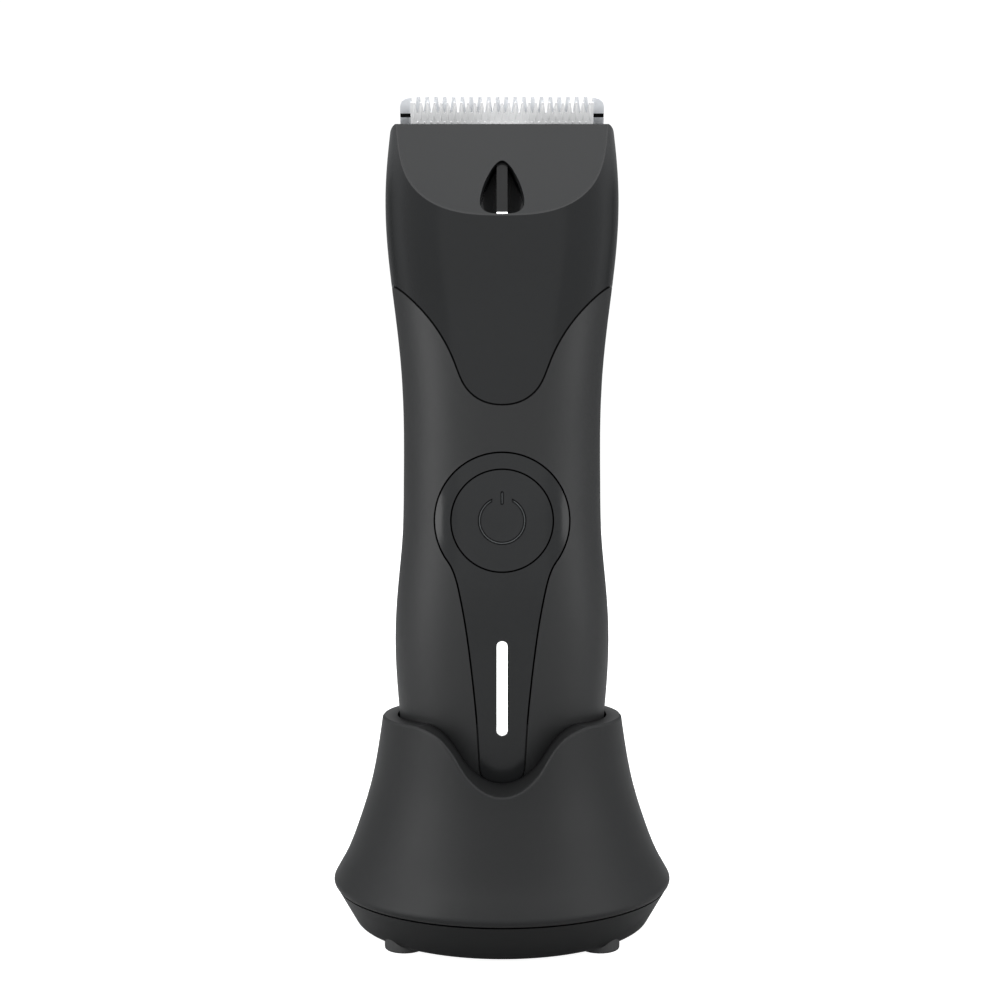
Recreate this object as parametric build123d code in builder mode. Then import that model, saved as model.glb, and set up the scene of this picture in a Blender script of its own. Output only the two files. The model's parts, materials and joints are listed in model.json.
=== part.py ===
"""Body groomer standing in its charging dock, as separate parts.

Millimetres, +Z up. The origin is the centre of the dock's footprint on the table. The power button
and the light face -Y, and the blade's teeth point up.
"""

import math
import os

from build123d import *

os.makedirs("parts", exist_ok=True)

# ---------------------------------------------------------------- driving dimensions
WALL = 2.4  # handle shells
GAP = 0.32  # visible line between neighbouring covers
FAR = 100.0  # reach of the cutting tools

HANDLE_BOTTOM = 14.0
HANDLE_TOP = 153.6
HEAD_HALF_WIDTH = 21.9  # at the top, before its corners are rounded
HEAD_CORNER = 1.6
CAP_TOP = 17.4  # bottom cap's parting line
CAP_FLOOR = 16.6

# height, half width, depth to the front, depth to the back, squareness of the front and of the back
HANDLE_SECTIONS = [
    (11.0, 15.8, 12.9, 12.7, 2.3, 2.3),
    (20.0, 17.5, 14.4, 14.1, 2.3, 2.3),
    (30.0, 18.8, 15.5, 15.1, 2.3, 2.3),
    (41.0, 19.9, 16.1, 15.8, 2.35, 2.35),
    (54.0, 20.7, 16.4, 16.1, 2.4, 2.4),
    (68.0, 19.9, 16.3, 15.7, 2.4, 2.4),
    (82.0, 19.1, 16.1, 15.1, 2.4, 2.4),
    (97.0, 19.1, 15.9, 14.7, 2.45, 2.45),
    (110.0, 19.85, 15.8, 14.8, 2.55, 2.55),
    (123.0, 21.4, 15.9, 15.2, 2.65, 2.65),
    (138.0, 22.6, 16.1, 15.0, 2.65, 2.75),
    (148.0, 22.3, 15.55, 14.5, 2.2, 2.8),
    (158.0, 21.3, 14.6, 13.6, 1.95, 2.8),
]

# head: flat front face, and the blade's own slanted plane behind it
FACE_FOOT = (-16.0, 134.0)  # y, z of the front face's lower edge
FACE_TOP = (-5.0, HANDLE_TOP)
FACE_PLATE = 1.6
FACE_WALL = 3.0
FACE_INSET = 0.2
WINDOW_RECESS = 0.6
HOLLOW_X = 3.4  # of the window's two hollows
HOLLOW_RADIUS = 2.4
HOLLOW_UP = 0.5  # of their centres, above the face
LIGHT_UP = 0.95  # of the light bar, from the face's lower edge
BLADE_TIP = (0.5, 160.4)  # y, z of the comb's tooth tips
BLADE_TILT = 25.0  # degrees, tips lean to the front
REAR_WALL = 2.2
HEAD_FLOOR_BOTTOM, HEAD_FLOOR_TOP = 130.0, 131.5

# blade, measured down from the tooth tips in the blade's plane
COMB_THICKNESS = 0.8
COMB_HALF_WIDTH = 20.0
COMB_TEETH = 20
COMB_PITCH = 1.725
COMB_TOOTH = 2.85
CUTTER_HALF_WIDTH = 17.9
CUTTER_TEETH = 27
CUTTER_PITCH = 1.322
CUTTER_TIP = 1.0
CUTTER_ROOT = 2.9
CUTTER_FOOT = 8.1
CUTTER_THICKNESS = 1.0
SLIDE_GAP = 0.03
STROKE = 0.9  # cutter travel each way, and the crank's eccentricity
CARRIER_HALF = 19.45
CARRIER_TOP = 8.8
CARRIER_THICKNESS = 2.2
POCKET_HALF = 19.75
POCKET_DEPTH = 20.3
HINGE_DOWN = 20.0
HINGE_UP = 0.5  # of the hinge's centre over the comb's front face
HINGE_PIN_RADIUS = 0.6
BARREL_RADIUS = 1.3
BARREL_HALF = 15.0
FORK_BOTTOM, FORK_TOP = 134.8, 140.2
SLOT_HALF = 2.75
BLADE_SCREW_X = 13.0
BLADE_SCREW_DOWN = 11.0

# control panel
PANEL_DEPTH = 1.2
PANEL_RADIUS = 12.4
PANEL_BOTTOM = 29.3
BUTTON_Z = 77.8
BUTTON_RADIUS = 9.3
BUTTON_THICKNESS = 0.75
BUTTON_GAP = 0.3
STEM_RADIUS = 2.0
STEM_END = -12.2
ICON_RADIUS = 4.16
ICON_LINE = 0.6
ICON_DEPTH = 0.3
INDICATOR_BOTTOM, INDICATOR_TOP = 38.4, 55.6
INDICATOR_WIDTH = 1.95

# drive and power
MOTOR_BOTTOM, MOTOR_TOP = 97.0, 122.0
MOTOR_RADIUS = 10.2
MOTOR_HALF_DEPTH = 7.7
PLATE_TOP = 123.6
SHAFT_RADIUS = 1.0
CAM_BOTTOM, CAM_TOP = 124.8, 128.9
PIN_RADIUS = 0.9
PIN_TOP = 138.4
CELL_RADIUS = 7.1
CELL_Y = 2.6
CELL_BOTTOM, CELL_TOP = 40.6, 91.4
BOARD_FRONT, BOARD_BACK = -8.2, -7.0
BOARD_BOTTOM, BOARD_TOP = 33.0, 93.4
SPINE_FRONT, SPINE_BACK = 10.0, 11.3
POST_X = 11.0
POST_RADIUS = 2.3
CAP_SCREW_HEAD = 1.9
PAD_RADIUS = 2.2

# dock
RIM_Z = 40.1
RIM_RADIUS = 23.2
DOCK_WALL = 2.2
NOTCH_SLOPE = 0.094  # the rim's dip falls this much for each millimetre to the front
NOTCH_LIP = 2.4
NOTCH_ROUND = 0.5
WELL_CLEARANCE = 0.45
WELL_WALL = 1.8
WELL_FLOOR = 13.7
WELL_UNDERSIDE = 12.0
DOCK_PART_Z = 8.0
DOCK_PART_RADIUS = 32.0
BASE_BOTTOM = 1.1
BASE_FLOOR = 2.9
FOOT_RADIUS = 3.7
FOOT_CIRCLE = 25.0
FOOT_TOP = 2.4
CONTACT_X = 5.0
CONTACT_TIP = 13.95
BOSS_CIRCLE = 22.0
BOSS_ANGLES = (0, 180, 270)
DOCK_BOARD_BOTTOM, DOCK_BOARD_TOP = 6.3, 7.5
PORT_BOTTOM = 3.1
PORT_WIDTH, PORT_HEIGHT = 9.0, 3.2
PORT_FRONT, PORT_MOUTH = 22.5, 28.8

# ---------------------------------------------------------------- planes
face_run = FACE_TOP[0] - FACE_FOOT[0]
face_rise = FACE_TOP[1] - FACE_FOOT[1]
face_length = math.hypot(face_run, face_rise)
face_plane = Plane(
    origin=(0, *FACE_FOOT),
    x_dir=(1, 0, 0),
    z_dir=(0, -face_rise / face_length, face_run / face_length),
)
tilt_cos = math.cos(math.radians(BLADE_TILT))
tilt_sin = math.sin(math.radians(BLADE_TILT))
blade_plane = Plane(origin=(0, *BLADE_TIP), x_dir=(1, 0, 0), z_dir=(0, -tilt_cos, -tilt_sin))
hinge_centre = blade_plane.from_local_coords((0, -HINGE_DOWN, HINGE_UP))
hinge_plane = Plane(origin=hinge_centre, x_dir=(0, -tilt_sin, tilt_cos), z_dir=(1, 0, 0))
blade_section = Plane(origin=(0, *BLADE_TIP), x_dir=(0, -tilt_sin, tilt_cos), z_dir=(1, 0, 0))


# ---------------------------------------------------------------- helpers
def outline_points(width, front, back, front_squareness, back_squareness):
    """Points round one cross-section of the handle, from the middle of its back."""
    points = []
    for step in range(24):
        angle = math.radians(90 + 15 * step)
        across = math.cos(angle)
        along = math.sin(angle)
        depth = back if along > 0 else front
        exponent = back_squareness if along > 0 else front_squareness
        points.append((
            width * math.copysign(abs(across) ** (2 / exponent), across),
            depth * math.copysign(abs(along) ** (2 / exponent), along),
        ))
    return points


def handle_solid(inset):
    """The handle's outer form, with its surface moved inwards by inset."""
    with BuildPart() as form:
        for height, width, front, back, *squareness in HANDLE_SECTIONS:
            outline = outline_points(width - inset, front - inset, back - inset, *squareness)
            with BuildSketch(Plane.XY.offset(height)):
                with BuildLine():
                    Spline(*outline, periodic=True)
                make_face()
        loft()
    return form.part


def facing_back(plane, depth):
    """The parallel plane at a depth behind the given one, facing the other way."""
    return Plane(origin=plane.offset(-depth).origin, x_dir=(1, 0, 0), z_dir=-plane.z_dir)


def cut_beyond(plane):
    """Removes everything on the side that the plane faces."""
    with BuildSketch(plane) as beyond:
        Rectangle(2 * FAR, 4 * FAR)
    extrude(beyond.sketch, amount=2 * FAR, mode=Mode.SUBTRACT)


def keep_between(low, high):
    """Keeps only what lies between two heights."""
    cut_beyond(Plane.XY.offset(high))
    cut_beyond(Plane(origin=(0, 0, low), x_dir=(1, 0, 0), z_dir=(0, 0, -1)))


def head_outline(inset):
    """Front view of the space under the handle's top, whose corners are rounded."""
    with BuildSketch(Plane.XZ) as region:
        with BuildLine():
            Polyline(
                (-HEAD_HALF_WIDTH - 18 + inset, 0),
                (-HEAD_HALF_WIDTH + inset, HANDLE_TOP - inset),
                (HEAD_HALF_WIDTH - inset, HANDLE_TOP - inset),
                (HEAD_HALF_WIDTH + 18 - inset, 0),
                close=True,
            )
        make_face()
        fillet(region.vertices().group_by(Axis.Z)[-1], HEAD_CORNER)
    return region.sketch


def moved(points, first, last, distance):
    """A spline's points, each moved by a distance to the left of the spline's direction there."""
    result = []
    for index, (x, y) in enumerate(points):
        before = points[max(index - 1, 0)]
        after = points[min(index + 1, len(points) - 1)]
        direction = (after[0] - before[0], after[1] - before[1])
        if index == 0:
            direction = first
        if index == len(points) - 1:
            direction = last
        length = math.hypot(*direction)
        result.append((x - distance * direction[1] / length, y + distance * direction[0] / length))
    return result


def shoulder_region(shift):
    """Front view of everything above the shoulder line, moved away from that line by shift."""
    half = [(3.6, 99.8), (6.6, 102.2), (8.8, 107.0), (12.6, 114.0), (16.8, 118.9), (20.4, 122.1), (24.5, 124.4)]
    line_points = [(-x, z) for x, z in reversed(half)] + [(0, 99.1)] + half
    line_points = moved(line_points, (1, -0.55), (1, 0.55), shift)
    end = line_points[-1]
    with BuildSketch(Plane.XZ) as region:
        with BuildLine():
            Spline(*line_points)
            Polyline(end, (end[0], 175), (-end[0], 175), (-end[0], end[1]))
        make_face()
    return region.sketch


def keyhole_outline(grow):
    """Front view of the control panel: a disc round the button that runs into a tapering tail."""
    lean = math.radians(37)
    radius = PANEL_RADIUS + grow
    start = (radius * math.cos(lean), BUTTON_Z - radius * math.sin(lean))
    leaving = (-math.sin(lean), -math.cos(lean))
    falling = (-0.05, -1)
    level = (-1, 0)
    tail_points = moved(
        [(PANEL_RADIUS * math.cos(lean), BUTTON_Z - PANEL_RADIUS * math.sin(lean)),
         (7.75, 64.6), (6.1, 55.2), (4.9, 45.1), (4.0, 32.5)],
        leaving, falling, grow,
    )
    corner_points = moved([(4.0, 32.5), (2.9, 30.0), (0, PANEL_BOTTOM)], falling, level, grow)
    with BuildSketch(Plane.XZ) as region:
        with BuildLine():
            ThreePointArc(start, (0, BUTTON_Z + radius), (-start[0], start[1]))
            tail = Spline(*tail_points, tangents=[leaving, falling])
            corner = Spline(*corner_points, tangents=[falling, level])
            mirror(tail, about=Plane.YZ)
            mirror(corner, about=Plane.YZ)
        make_face()
    return region.sketch


def teardrop_outline(grow):
    """Outline of the light's window on the front face: narrow above, round below."""
    side_points = moved(
        [(0, 0.2), (1.5, 0.27), (2.85, 0.65), (3.8, 1.6), (4.12, 3.1), (3.9, 5.2), (3.3, 7.65), (2.4, 10.05),
         (1.2, 12.3), (0, 13.2)],
        (1, 0), (-1, 0), -grow,
    )
    other_side = [(-x, y) for x, y in reversed(side_points[1:-1])]
    with BuildSketch(face_plane) as region:
        with BuildLine():
            Spline(*side_points, *other_side, periodic=True)
        make_face()
    return region.sketch


def notch_outline(reach, grow):
    """Front view of the dip in the dock's rim, at a distance in front of the handle's axis."""
    drop = reach * NOTCH_SLOPE
    points = [
        (0, 31.2), (2.0, 31.5), (4.2, 32.6), (6.4, 34.5), (8.25, 37.1), (10.0, 39.3), (11.6, 40.6), (13.3, 41.3),
        (15.2, 41.65), (18.0, 41.9),
    ]
    side_points = moved([(x, z - drop) for x, z in points], (1, 0), (1, 0.15), -grow)
    end = side_points[-1]
    with BuildSketch(Plane.XZ.offset(reach)) as region:
        with BuildLine():
            Spline(*[(-x, z) for x, z in reversed(side_points[1:])], *side_points)
            Polyline(end, (end[0], 60), (-end[0], 60), (-end[0], end[1]))
        make_face()
    return region.sketch


def trimmed_form(solid, inset):
    """A handle form cut by the head's front face, blade plane and rounded top."""
    with BuildPart() as form:
        add(solid)
        cut_beyond(face_plane)
        cut_beyond(facing_back(blade_plane, COMB_THICKNESS))
        extrude(head_outline(inset), amount=FAR, both=True, mode=Mode.INTERSECT)
    return form.part


def save(part, name):
    """Labels a finished part and writes its STEP file."""
    part.label = name
    export_step(part, f"parts/{name}.step")


# ---------------------------------------------------------------- handle: shared forms
full_form = handle_solid(0)
panel_floor = handle_solid(PANEL_DEPTH)

with BuildPart() as hollow:
    add(handle_solid(WALL))
    cut_beyond(face_plane.offset(-FACE_WALL))
    cut_beyond(facing_back(blade_plane, COMB_THICKNESS - REAR_WALL))
    keep_between(CAP_FLOOR, HANDLE_TOP + 3)

with BuildPart() as wall:
    add(trimmed_form(full_form, 0))
    add(hollow.part, mode=Mode.SUBTRACT)

# ---------------------------------------------------------------- head shell and front face
with BuildPart() as face_plate:
    add(trimmed_form(handle_solid(FACE_INSET), FACE_INSET))
    cut_beyond(facing_back(face_plane, FACE_PLATE))
    extrude(teardrop_outline(0), amount=FACE_PLATE * 2, both=True, mode=Mode.SUBTRACT)
save(face_plate.part, "face_plate")

with BuildPart() as head_shell:
    add(wall.part)
    extrude(shoulder_region(GAP / 2), amount=FAR, both=True, mode=Mode.INTERSECT)
    add(face_plate.part, mode=Mode.SUBTRACT)
    extrude(teardrop_outline(0), amount=FACE_WALL * 2, both=True, mode=Mode.SUBTRACT)
    with BuildSketch(blade_plane.offset(-3)):
        with Locations((0, 15 - POCKET_DEPTH / 2)):
            Rectangle(2 * POCKET_HALF, POCKET_DEPTH + 30)
    extrude(amount=7.5, mode=Mode.SUBTRACT)
    with BuildSketch(hinge_plane.offset(-BARREL_HALF - 0.3)):
        Circle(BARREL_RADIUS + 0.3)
    extrude(amount=2 * BARREL_HALF + 0.6, mode=Mode.SUBTRACT)
    for side in (1, -1):
        with BuildSketch(hinge_plane.offset(side * (BARREL_HALF + 0.3))):
            Circle(BARREL_RADIUS + 0.1)
        extrude(amount=side * (POCKET_HALF - BARREL_HALF))
    with BuildSketch(hinge_plane.offset(-POCKET_HALF + 0.6)):
        Circle(HINGE_PIN_RADIUS)
    extrude(amount=2 * POCKET_HALF - 1.2, mode=Mode.SUBTRACT)
save(head_shell.part, "head_shell")

# Smoked window in the front face: a rib down its middle between two hollows, and a slot for the light.
with BuildPart() as light_window:
    extrude(teardrop_outline(-0.04), amount=-FACE_WALL)
    extrude(teardrop_outline(0.5), amount=-WINDOW_RECESS, mode=Mode.SUBTRACT)
    with BuildSketch(Plane(face_plane.from_local_coords((0, -3, 0)), x_dir=(1, 0, 0), z_dir=face_plane.y_dir)):
        with Locations((-HOLLOW_X, HOLLOW_UP), (HOLLOW_X, HOLLOW_UP)):
            Circle(HOLLOW_RADIUS)
    extrude(amount=FAR, mode=Mode.SUBTRACT)
    with BuildSketch(face_plane.offset(-WINDOW_RECESS)):
        with Locations((0, LIGHT_UP)):
            Rectangle(2.1, 0.5)
    extrude(amount=-FACE_WALL, mode=Mode.SUBTRACT)
save(light_window.part, "light_window")

with BuildPart() as light_led:
    with BuildSketch(face_plane.offset(-WINDOW_RECESS - 0.05)):
        with Locations((0, LIGHT_UP)):
            Rectangle(2.0, 0.42)
    extrude(amount=-FACE_WALL - 1.0)
    with BuildSketch(face_plane.offset(-FACE_WALL)):
        with Locations((0, 1.15)):
            Rectangle(4.0, 2.4)
    extrude(amount=-1.2)
save(light_led.part, "light_led")

# Rubber gasket that fills the shoulder line.
with BuildPart() as shoulder_seal:
    add(handle_solid(0.45))
    add(hollow.part, mode=Mode.SUBTRACT)
    keep_between(90, 130)
    extrude(shoulder_region(-GAP / 2), amount=FAR, both=True, mode=Mode.INTERSECT)
    extrude(shoulder_region(GAP / 2), amount=FAR, both=True, mode=Mode.SUBTRACT)
save(shoulder_seal.part, "shoulder_seal")

# ---------------------------------------------------------------- grips and control panel
with BuildPart() as front_grip:
    add(wall.part)
    extrude(shoulder_region(-GAP / 2), amount=FAR, both=True, mode=Mode.SUBTRACT)
    keep_between(CAP_TOP + GAP, 130)
    cut_beyond(Plane(origin=(0, -0.06, 0), x_dir=(1, 0, 0), z_dir=(0, 1, 0)))
    with BuildSketch(Plane.XZ):
        with Locations((0, BUTTON_Z)):
            Circle(BUTTON_RADIUS - 1.0)
        with Locations((0, (INDICATOR_BOTTOM + INDICATOR_TOP) / 2)):
            SlotOverall(INDICATOR_TOP - INDICATOR_BOTTOM + 0.25, INDICATOR_WIDTH + 0.25, rotation=90)
    extrude(amount=FAR, mode=Mode.SUBTRACT)
with BuildPart() as panel_recess:
    extrude(keyhole_outline(GAP), amount=FAR)
    add(panel_floor, mode=Mode.SUBTRACT)
front_grip.part = front_grip.part - panel_recess.part
save(front_grip.part, "front_grip")

with BuildPart() as rear_grip:
    add(wall.part)
    extrude(shoulder_region(-GAP / 2), amount=FAR, both=True, mode=Mode.SUBTRACT)
    keep_between(CAP_TOP + GAP, 130)
    cut_beyond(Plane(origin=(0, 0.06, 0), x_dir=(1, 0, 0), z_dir=(0, -1, 0)))
save(rear_grip.part, "rear_grip")

with BuildPart() as control_panel:
    extrude(keyhole_outline(0), amount=FAR)
    add(full_form, mode=Mode.INTERSECT)
    add(panel_floor, mode=Mode.SUBTRACT)
    with BuildSketch(Plane.XZ):
        with Locations((0, BUTTON_Z)):
            Circle(BUTTON_RADIUS + BUTTON_GAP)
        with Locations((0, (INDICATOR_BOTTOM + INDICATOR_TOP) / 2)):
            SlotOverall(INDICATOR_TOP - INDICATOR_BOTTOM + 0.25, INDICATOR_WIDTH + 0.25, rotation=90)
    extrude(amount=FAR, mode=Mode.SUBTRACT)
save(control_panel.part, "control_panel")

# Power symbol: an open ring and a bar, pressed into the button's face.
with BuildPart() as power_icon:
    with BuildSketch(Plane.XZ):
        with Locations((0, BUTTON_Z)):
            Circle(ICON_RADIUS + ICON_LINE / 2)
            Circle(ICON_RADIUS - ICON_LINE / 2, mode=Mode.SUBTRACT)
        with Locations((0, BUTTON_Z + ICON_RADIUS)):
            Rectangle(3.6, 3.0, mode=Mode.SUBTRACT)
        with Locations((0, BUTTON_Z + ICON_RADIUS)):
            SlotOverall(2.5, ICON_LINE, rotation=90)
    extrude(amount=FAR)
    add(handle_solid(ICON_DEPTH), mode=Mode.SUBTRACT)

with BuildPart() as power_button:
    with BuildSketch(Plane.XZ):
        with Locations((0, BUTTON_Z)):
            Circle(BUTTON_RADIUS)
    extrude(amount=FAR)
    add(full_form, mode=Mode.INTERSECT)
    add(handle_solid(BUTTON_THICKNESS), mode=Mode.SUBTRACT)
    with BuildSketch(Plane.XZ.offset(-STEM_END)):
        with Locations((0, BUTTON_Z)):
            Circle(STEM_RADIUS)
    extrude(amount=3.4)
    add(power_icon.part, mode=Mode.SUBTRACT)
save(power_button.part, "power_button")

with BuildPart() as button_seal:
    with BuildSketch(Plane.XZ.offset(13.2)):
        with Locations((0, BUTTON_Z)):
            Circle(BUTTON_RADIUS - 1.0)
            Circle(STEM_RADIUS + 0.15, mode=Mode.SUBTRACT)
    extrude(amount=0.7)
save(button_seal.part, "button_seal")

with BuildPart() as indicator_lens:
    with BuildSketch(Plane.XZ.offset(9.5)):
        with Locations((0, (INDICATOR_BOTTOM + INDICATOR_TOP) / 2)):
            SlotOverall(INDICATOR_TOP - INDICATOR_BOTTOM, INDICATOR_WIDTH, rotation=90)
    extrude(amount=FAR)
    add(handle_solid(0.05), mode=Mode.INTERSECT)
save(indicator_lens.part, "indicator_lens")

# ---------------------------------------------------------------- electronics
with BuildPart() as main_board:
    with BuildSketch(Plane.XZ.offset(-BOARD_BACK)):
        with Locations((0, (BOARD_BOTTOM + BOARD_TOP) / 2)):
            RectangleRounded(18, BOARD_TOP - BOARD_BOTTOM, 1.5)
    extrude(amount=BOARD_BACK - BOARD_FRONT)
save(main_board.part, "main_board")

with BuildPart() as board_components:
    with BuildSketch(Plane.XZ.offset(-BOARD_FRONT)):
        with Locations((-5.5, 64.5)):
            Rectangle(5, 5)
        with Locations((5.6, 63.0)):
            Rectangle(3.2, 2.8)
        with Locations((5.4, 89.6)):
            Rectangle(4.5, 4.0)
    extrude(amount=1.1)
    with BuildSketch(Plane.XZ.offset(-BOARD_FRONT)):
        with Locations((0, 41.0), (0, 45.0), (0, 49.0), (0, 53.0)):
            Rectangle(1.6, 0.9)
    extrude(amount=0.7)
save(board_components.part, "board_components")

with BuildPart() as switch_body:
    with BuildSketch(Plane.XZ.offset(-BOARD_FRONT)):
        with Locations((0, BUTTON_Z)):
            RectangleRounded(6.2, 6.2, 0.4)
    extrude(amount=2.9)
    with BuildSketch(Plane.XZ.offset(0.5 - BOARD_FRONT)):
        with Locations((0, BUTTON_Z)):
            Circle(1.5)
    extrude(amount=3, mode=Mode.SUBTRACT)
save(switch_body.part, "switch_body")

with BuildPart() as switch_plunger:
    with BuildSketch(Plane.XZ.offset(1.0 - BOARD_FRONT)):
        with Locations((0, BUTTON_Z)):
            Circle(1.45)
    extrude(amount=-STEM_END - 1.0 + BOARD_FRONT)
save(switch_plunger.part, "switch_plunger")

with BuildPart() as battery:
    with BuildSketch(Plane.XY.offset(CELL_BOTTOM)):
        with Locations((0, CELL_Y)):
            Circle(CELL_RADIUS)
    extrude(amount=CELL_TOP - CELL_BOTTOM - 1.0)
    chamfer(battery.edges(), 0.5)
    with BuildSketch(Plane.XY.offset(CELL_TOP - 1.2)):
        with Locations((0, CELL_Y)):
            Circle(2.7)
    extrude(amount=1.2)
save(battery.part, "battery")

# Inner frame: a spine behind the cell, shelves over and under it, and the motor's plate.
with BuildPart() as chassis:
    with BuildSketch(Plane.XY.offset(38.6)):
        with Locations((0, (SPINE_FRONT + SPINE_BACK) / 2)):
            Rectangle(9, SPINE_BACK - SPINE_FRONT)
    extrude(amount=PLATE_TOP - 38.6)
    for shelf in (CELL_BOTTOM, CELL_TOP + 2):
        with BuildSketch(Plane.XY.offset(shelf)):
            with Locations((0, (BOARD_BACK + SPINE_BACK) / 2)):
                RectangleRounded(17, SPINE_BACK - BOARD_BACK, 1.2)
            with Locations((0, SPINE_BACK - 1)):
                Rectangle(9, 2)
        extrude(amount=-2)
    with BuildSketch(Plane.XY.offset(MOTOR_TOP)):
        with Locations((0, 0.8)):
            RectangleRounded(27, 20.9, 4)
        Circle(3.2, mode=Mode.SUBTRACT)
    extrude(amount=PLATE_TOP - MOTOR_TOP)
    with BuildSketch(Plane.XY.offset(PLATE_TOP)):
        with Locations((-10.5, 0), (10.5, 0)):
            Circle(2.2)
    extrude(amount=HEAD_FLOOR_BOTTOM - PLATE_TOP)
    with BuildSketch(Plane.XY.offset(CAP_FLOOR)):
        with Locations((-POST_X, 0), (POST_X, 0)):
            Circle(POST_RADIUS)
    extrude(amount=CELL_BOTTOM - CAP_FLOOR)
    with BuildSketch(Plane.XY.offset(CELL_BOTTOM - 2)):
        Rectangle(2 * POST_X, 4)
    extrude(amount=2)
    with BuildSketch(Plane.XY.offset(CAP_FLOOR)):
        with Locations((-POST_X, 0), (POST_X, 0)):
            Circle(1.1)
    extrude(amount=10, mode=Mode.SUBTRACT)
save(chassis.part, "chassis")

# ---------------------------------------------------------------- motor and crank
with BuildPart() as motor_can:
    with BuildSketch(Plane.XY.offset(MOTOR_BOTTOM)):
        Circle(MOTOR_RADIUS)
        Rectangle(2 * MOTOR_RADIUS, 2 * MOTOR_HALF_DEPTH, mode=Mode.INTERSECT)
    extrude(amount=MOTOR_TOP - MOTOR_BOTTOM)
    fillet(motor_can.edges().group_by(Axis.Z)[-1], 0.8)
    with BuildSketch(Plane.XY.offset(MOTOR_TOP)):
        Circle(3.1)
    extrude(amount=1.5)
    with BuildSketch(Plane.XY.offset(MOTOR_BOTTOM + 2)):
        Circle(SHAFT_RADIUS + 0.05)
    extrude(amount=MOTOR_TOP - MOTOR_BOTTOM, mode=Mode.SUBTRACT)
save(motor_can.part, "motor_can")

with BuildPart() as motor_endcap:
    with BuildSketch(Plane.XY.offset(MOTOR_BOTTOM)):
        Circle(MOTOR_RADIUS - 0.4)
        Rectangle(2 * MOTOR_RADIUS, 2 * MOTOR_HALF_DEPTH - 0.8, mode=Mode.INTERSECT)
    extrude(amount=-1.8)
    with BuildSketch(Plane.XY.offset(MOTOR_BOTTOM - 1.8)):
        Circle(2.6)
    extrude(amount=-1.8)
save(motor_endcap.part, "motor_endcap")

with BuildPart() as motor_shaft:
    with BuildSketch(Plane.XY.offset(MOTOR_BOTTOM + 2.1)):
        Circle(SHAFT_RADIUS)
    extrude(amount=CAM_TOP - 1.0 - MOTOR_BOTTOM - 2.1)
save(motor_shaft.part, "motor_shaft")

with BuildPart() as eccentric_cam:
    with BuildSketch(Plane.XY.offset(CAM_BOTTOM)):
        Circle(4.4)
        Circle(SHAFT_RADIUS, mode=Mode.SUBTRACT)
    extrude(amount=CAM_TOP - 1.0 - CAM_BOTTOM)
    with BuildSketch(Plane.XY.offset(CAM_TOP - 1.0)):
        Circle(4.4)
        with Locations((0, -STROKE)):
            Circle(PIN_RADIUS, mode=Mode.SUBTRACT)
    extrude(amount=1.0)
save(eccentric_cam.part, "eccentric_cam")

with BuildPart() as drive_pin:
    with BuildSketch(Plane.XY.offset(CAM_TOP - 1.0)):
        with Locations((0, -STROKE)):
            Circle(PIN_RADIUS)
    extrude(amount=PIN_TOP - CAM_TOP + 1.0)
    chamfer(drive_pin.edges().group_by(Axis.Z)[-1], 0.25)
save(drive_pin.part, "drive_pin")

with BuildPart() as head_floor:
    add(hollow.part)
    keep_between(HEAD_FLOOR_BOTTOM, HEAD_FLOOR_TOP)
    with BuildSketch(Plane.XY.offset(HEAD_FLOOR_BOTTOM)):
        Circle(5.0)
    extrude(amount=3, mode=Mode.SUBTRACT)
save(head_floor.part, "head_floor")

with BuildPart() as drive_seal:
    with BuildSketch(Plane.XY.offset(HEAD_FLOOR_BOTTOM - 0.6)):
        Circle(5.0)
        Circle(2.1, mode=Mode.SUBTRACT)
    extrude(amount=0.6 + HEAD_FLOOR_TOP - HEAD_FLOOR_BOTTOM)
save(drive_seal.part, "drive_seal")

# ---------------------------------------------------------------- bottom cap and its contacts
with BuildPart() as cap_foot:
    add(handle_solid(0.6))
    keep_between(HANDLE_BOTTOM, HANDLE_BOTTOM + 1)

with BuildPart() as bottom_cap:
    add(wall.part)
    keep_between(HANDLE_BOTTOM + 0.6, CAP_TOP)
    add(cap_foot.part)
    with BuildSketch(Plane.XY.offset(HANDLE_BOTTOM)):
        with Locations((-CONTACT_X, 0), (CONTACT_X, 0)):
            Circle(PAD_RADIUS)
        with Locations((-POST_X, 0), (POST_X, 0)):
            Circle(CAP_SCREW_HEAD)
    extrude(amount=1.3, mode=Mode.SUBTRACT)
    with BuildSketch(Plane.XY.offset(HANDLE_BOTTOM)):
        with Locations((-POST_X, 0), (POST_X, 0)):
            Circle(1.1)
    extrude(amount=4, mode=Mode.SUBTRACT)
save(bottom_cap.part, "bottom_cap")

with BuildPart() as bottom_seal:
    add(handle_solid(0.35))
    add(hollow.part, mode=Mode.SUBTRACT)
    keep_between(CAP_TOP, CAP_TOP + GAP)
save(bottom_seal.part, "bottom_seal")

with BuildPart() as charge_pads:
    with BuildSketch(Plane.XY.offset(HANDLE_BOTTOM)):
        with Locations((-CONTACT_X, 0), (CONTACT_X, 0)):
            Circle(PAD_RADIUS)
    extrude(amount=1.3)
save(charge_pads.part, "charge_pads")

with BuildPart() as cap_screws:
    with BuildSketch(Plane.XY.offset(HANDLE_BOTTOM + 0.2)):
        with Locations((-POST_X, 0), (POST_X, 0)):
            Circle(CAP_SCREW_HEAD)
            RegularPolygon(0.9, 6, mode=Mode.SUBTRACT)
    extrude(amount=1.1)
    with BuildSketch(Plane.XY.offset(HANDLE_BOTTOM + 1.0)):
        with Locations((-POST_X, 0), (POST_X, 0)):
            Circle(1.1)
    extrude(amount=10)
save(cap_screws.part, "cap_screws")

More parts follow.
